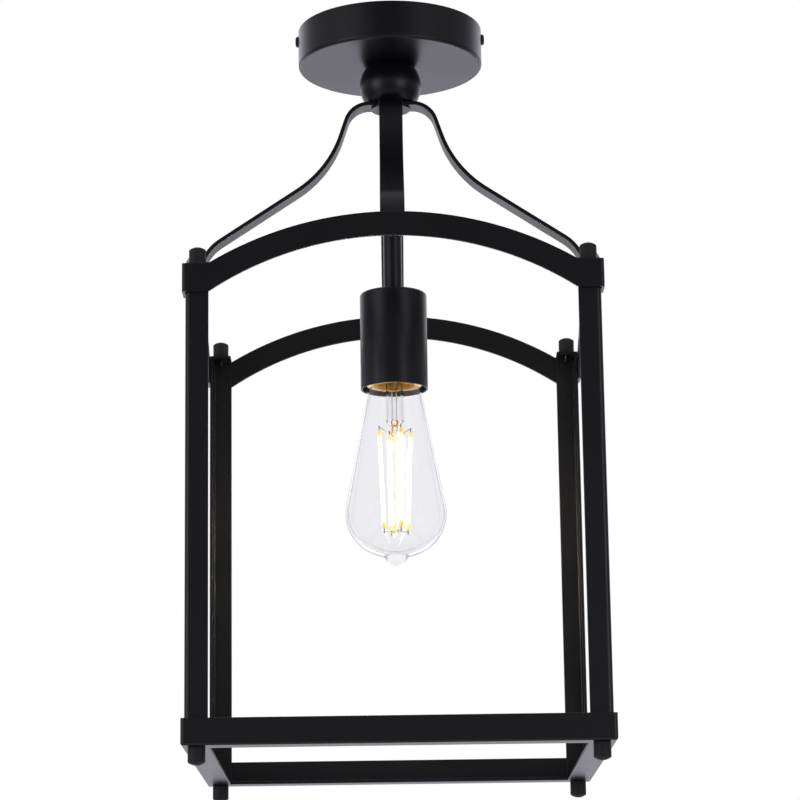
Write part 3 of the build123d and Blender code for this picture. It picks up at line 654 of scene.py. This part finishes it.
quarters = ((-1, -1), (1, -1), (1, 1), (-1, 1))
corners = [(x * FLOOR_HALF, y * FLOOR_HALF, FLOOR_LEVEL) for x, y in quarters]
floor_mesh = bpy.data.meshes.new("floor")
floor_mesh.from_pydata(corners, [], [(0, 1, 2, 3)])
floor = bpy.data.objects.new("floor", floor_mesh)
scene.collection.objects.link(floor)
paper, tree, shader, _ = finish("paper_roll_white", {
    "Roughness": 0.8, "Base Color": linear("#F3F3F3"), "Emission Color": linear("#FFFFFF")})
ray = add(tree, "ShaderNodeLightPath")
seen = add(tree, "ShaderNodeMath", {"operation": "MAXIMUM"},
           {0: ray.outputs["Is Camera Ray"], 1: ray.outputs["Is Transmission Ray"]})
lift = add(tree, "ShaderNodeMath", {"operation": "MULTIPLY", 1: PAPER_LIFT}, {0: seen.outputs["Value"]})
tree.links.new(lift.outputs["Value"], shader.inputs["Emission Strength"])
floor_mesh.materials.append(paper)
print("floor", 2 * FLOOR_HALF, "m wide at", FLOOR_LEVEL, "m")

# %% [markdown]
# ## Studio
# Round the light stand a white sheet behind it, pale panels at both sides and a dark room in front. Glossy
# black shows almost nothing but its surroundings, so these are drawn with care. They could be real boards,
# but a world that takes its level from the direction is simpler and casts no stray shadow: X is to the
# right, Y goes away from the camera and Z is up. The camera and the glass see plain white.

# %% The room in front and at the sides
world = bpy.data.worlds.new("studio")
scene.world = world
world.use_nodes = True
tree = world.node_tree
direction = add(tree, "ShaderNodeTexCoord").outputs["Generated"]
way = add(tree, "ShaderNodeSeparateXYZ", None, {0: direction})
smooth = {"interpolation_type": "SMOOTHSTEP"}
# in front the room darkens upward, which leaves the dark band down the middle of every round piece
front = add(tree, "ShaderNodeMapRange", {
    **smooth, "From Min": 0.10, "From Max": 0.34, "To Min": 0.36, "To Max": 0.02},
    {"Value": way.outputs["Z"]})
# the left panel is brighter than the right one
panel = add(tree, "ShaderNodeMapRange", {
    "From Min": -0.6, "From Max": 0.6, "To Min": 0.34, "To Max": 0.25}, {"Value": way.outputs["X"]})
aside = add(tree, "ShaderNodeMath", {"operation": "ABSOLUTE"}, {0: way.outputs["X"]})
beside = add(tree, "ShaderNodeMapRange", {**smooth, "From Min": 0.28, "From Max": 0.62},
             {"Value": aside.outputs["Value"]})
walls = add(tree, "ShaderNodeMixRGB", None, {
    "Fac": beside.outputs["Result"], "Color1": front.outputs["Result"], "Color2": panel.outputs["Result"]})
print("walls: dark in front, pale panels beside")

# %% Below the horizon and overhead
# below the horizon the room is dimmer
horizon = add(tree, "ShaderNodeMapRange", {
    **smooth, "From Min": -0.12, "From Max": 0.08, "To Min": 0.34, "To Max": 1.0},
    {"Value": way.outputs["Z"]})
lit_walls = add(tree, "ShaderNodeMixRGB", {"blend_type": "MULTIPLY", "Fac": 1.0},
                {"Color1": walls.outputs["Color"], "Color2": horizon.outputs["Result"]})
# a pale ceiling, high overhead
ceiling = add(tree, "ShaderNodeMapRange", {
    **smooth, "From Min": 0.45, "From Max": 0.72, "To Min": 0.0, "To Max": 0.3},
    {"Value": way.outputs["Z"]})
room = add(tree, "ShaderNodeMixRGB", {"blend_type": "ADD", "Fac": 1.0},
           {"Color1": lit_walls.outputs["Color"], "Color2": ceiling.outputs["Result"]})
print("room: dim below the horizon, a pale ceiling")

# %% The sheet behind
# brightest low down, where the undersides look
low_sheet = add(tree, "ShaderNodeMapRange", {
    **smooth, "From Min": -0.26, "From Max": -0.09, "To Min": 1.45, "To Max": 0.34},
    {"Value": way.outputs["Z"]})
# bright again high up
high_sheet = add(tree, "ShaderNodeMapRange", {
    **smooth, "From Min": 0.14, "From Max": 0.32, "To Min": 0.0, "To Max": 0.6},
    {"Value": way.outputs["Z"]})
# and at its wings, where the side straps look
wings = add(tree, "ShaderNodeMapRange", {
    **smooth, "From Min": 0.1, "From Max": 0.34, "To Min": 0.0, "To Max": 0.5},
    {"Value": aside.outputs["Value"]})
low_and_high = add(tree, "ShaderNodeMath", {"operation": "ADD"},
                   {0: low_sheet.outputs["Result"], 1: high_sheet.outputs["Result"]})
sheet = add(tree, "ShaderNodeMath", {"operation": "ADD"},
            {0: low_and_high.outputs["Value"], 1: wings.outputs["Result"]})
behind = add(tree, "ShaderNodeMapRange", {**smooth, "From Min": 0.45, "From Max": 0.85},
             {"Value": way.outputs["Y"]})
around = add(tree, "ShaderNodeMixRGB", None, {
    "Fac": behind.outputs["Result"], "Color1": room.outputs["Color"], "Color2": sheet.outputs["Value"]})
print("sheet: bright low down, high up and at its wings")

# %% What each ray sees
DAYLIGHT_TINT = (0.985, 0.96, 1.075, 1)     # linear, a touch of blue
WHITE = (1, 1, 1, 1)

tinted = add(tree, "ShaderNodeMixRGB", {"blend_type": "MULTIPLY", "Fac": 1.0, "Color2": DAYLIGHT_TINT},
             {"Color1": around.outputs["Color"]})
ray = add(tree, "ShaderNodeLightPath")
seen = add(tree, "ShaderNodeMath", {"operation": "MAXIMUM"},
           {0: ray.outputs["Is Camera Ray"], 1: ray.outputs["Is Transmission Ray"]})
shown = add(tree, "ShaderNodeMixRGB", {"Color2": WHITE},
            {"Fac": seen.outputs["Value"], "Color1": tinted.outputs["Color"]})
tree.links.new(shown.outputs["Color"], tree.nodes["Background"].inputs["Color"])
print("world: white for the camera and through glass, the studio for the rest")

# %% [markdown]
# Two soft boxes stand in front, left and right, level with the ball collar, and give it its two soft
# lights. A large weak one above softens the shadows. A lamp's power depends on its size, so it is worked
# out from the brightness that its face should have.

# %% Soft boxes
COOL_WHITE = (0.98, 0.96, 1.08)                     # linear
BOX_SIZE, ABOVE_SIZE = (1.2, 0.9), (2.0, 2.0)       # metres
BOX_DISTANCE = 2.2                                  # metres from the ball collar
LEFT_WAY, RIGHT_WAY = Vector((-0.80, -0.60, -0.04)), Vector((0.64, -0.77, -0.04))
ABOVE_PLACE, UNDER_THE_CAGE = Vector((0, 0.3, 1.7)), Vector((0, 0, -0.5))


def soft_box(name, place, target, size, radiance):
    """Area lamp aimed at a point; its power follows from the brightness of its face."""
    lamp = bpy.data.lights.new(name, "AREA")
    lamp.shape = "RECTANGLE"
    lamp.size, lamp.size_y = size
    lamp.energy = radiance * math.pi * lamp.size * lamp.size_y
    lamp.color = COOL_WHITE
    box = bpy.data.objects.new(name, lamp)
    box.location = place
    box.rotation_euler = (target - place).to_track_quat("-Z", "Y").to_euler()
    scene.collection.objects.link(box)
    print(name, "power", round(lamp.energy, 1), "W")


ball_low, ball_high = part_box("ball_collar")
ball = (ball_low + ball_high) / 2
soft_box("soft_box_left", ball + LEFT_WAY * BOX_DISTANCE, ball, BOX_SIZE, radiance=1.5)
soft_box("soft_box_right", ball + RIGHT_WAY * BOX_DISTANCE, ball, BOX_SIZE, radiance=1.25)
soft_box("soft_box_above", ABOVE_PLACE, UNDER_THE_CAGE, ABOVE_SIZE, radiance=0.2)
scene.view_settings.view_transform = "Standard"
